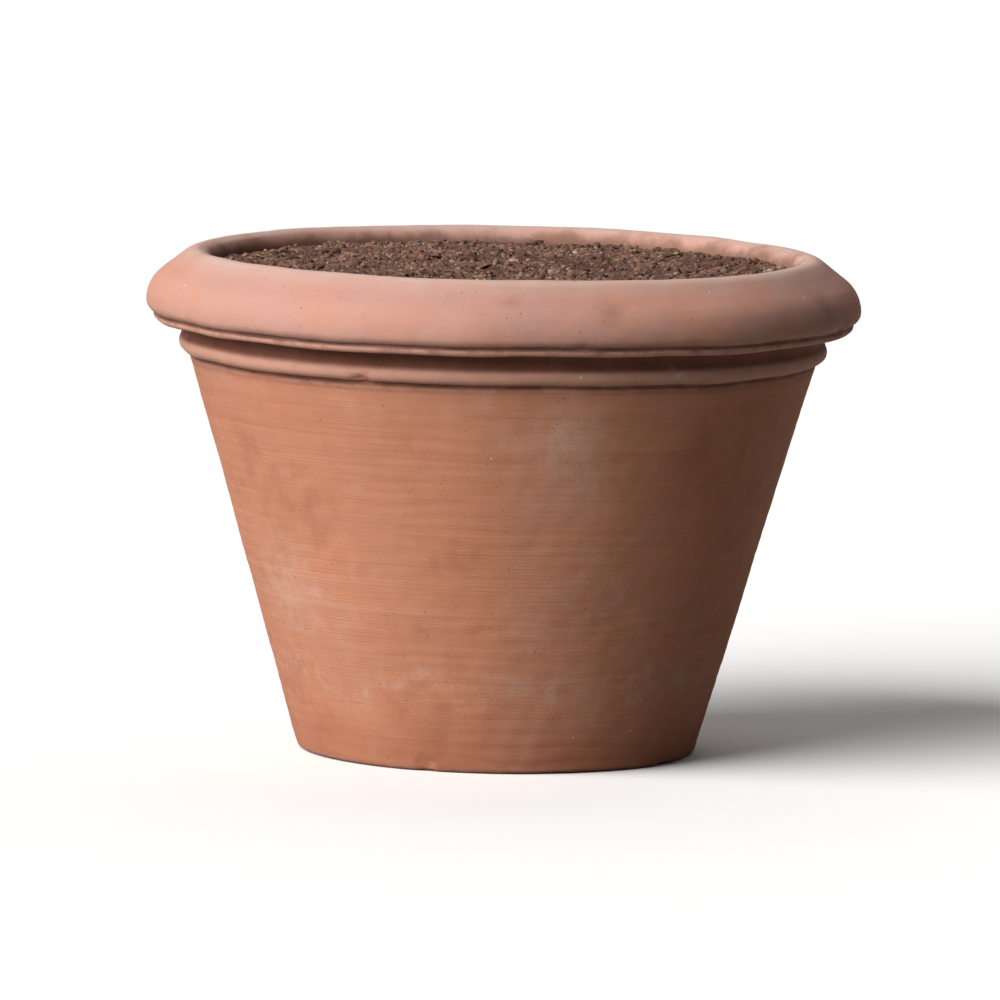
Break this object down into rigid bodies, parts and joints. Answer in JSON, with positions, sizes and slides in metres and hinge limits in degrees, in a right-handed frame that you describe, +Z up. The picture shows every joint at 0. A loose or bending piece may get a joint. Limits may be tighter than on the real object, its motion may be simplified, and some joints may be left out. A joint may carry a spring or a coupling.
{
  "type": "terracotta pot",
  "caption": "Round terracotta pot with a rolled rim, a narrow cordon under it and a tapered wall, filled with crocks, clay pebbles, fleece and compost, ready to plant.",
  "frame": {"origin": "centre of the foot, on the surface the pot stands on", "axes": "+Z up along the pot's axis; X and Y are free because the pot is round"},
  "size_m": [0.5, 0.4998, 0.35],
  "materials": {
    "terracotta": "unglazed fired clay, matt, with fine turning lines and a pale bloom",
    "crock_shard": "unglazed fired clay with rough broken edges",
    "expanded_clay": "matt, porous skin",
    "fleece": "thin non-woven felt",
    "compost": "loose reddish-brown crumbs, matt and slightly damp"
  },
  "bodies": {
    "root": {"terracotta_pot": "terracotta", "crock_over_drain": "crock_shard", "crock_left": "crock_shard", "crock_right": "crock_shard", "crock_front": "crock_shard", "crock_back": "crock_shard", "drainage_pebbles": "expanded_clay", "separator_fleece": "fleece", "potting_compost": "compost"}
  },
  "joints": []
}
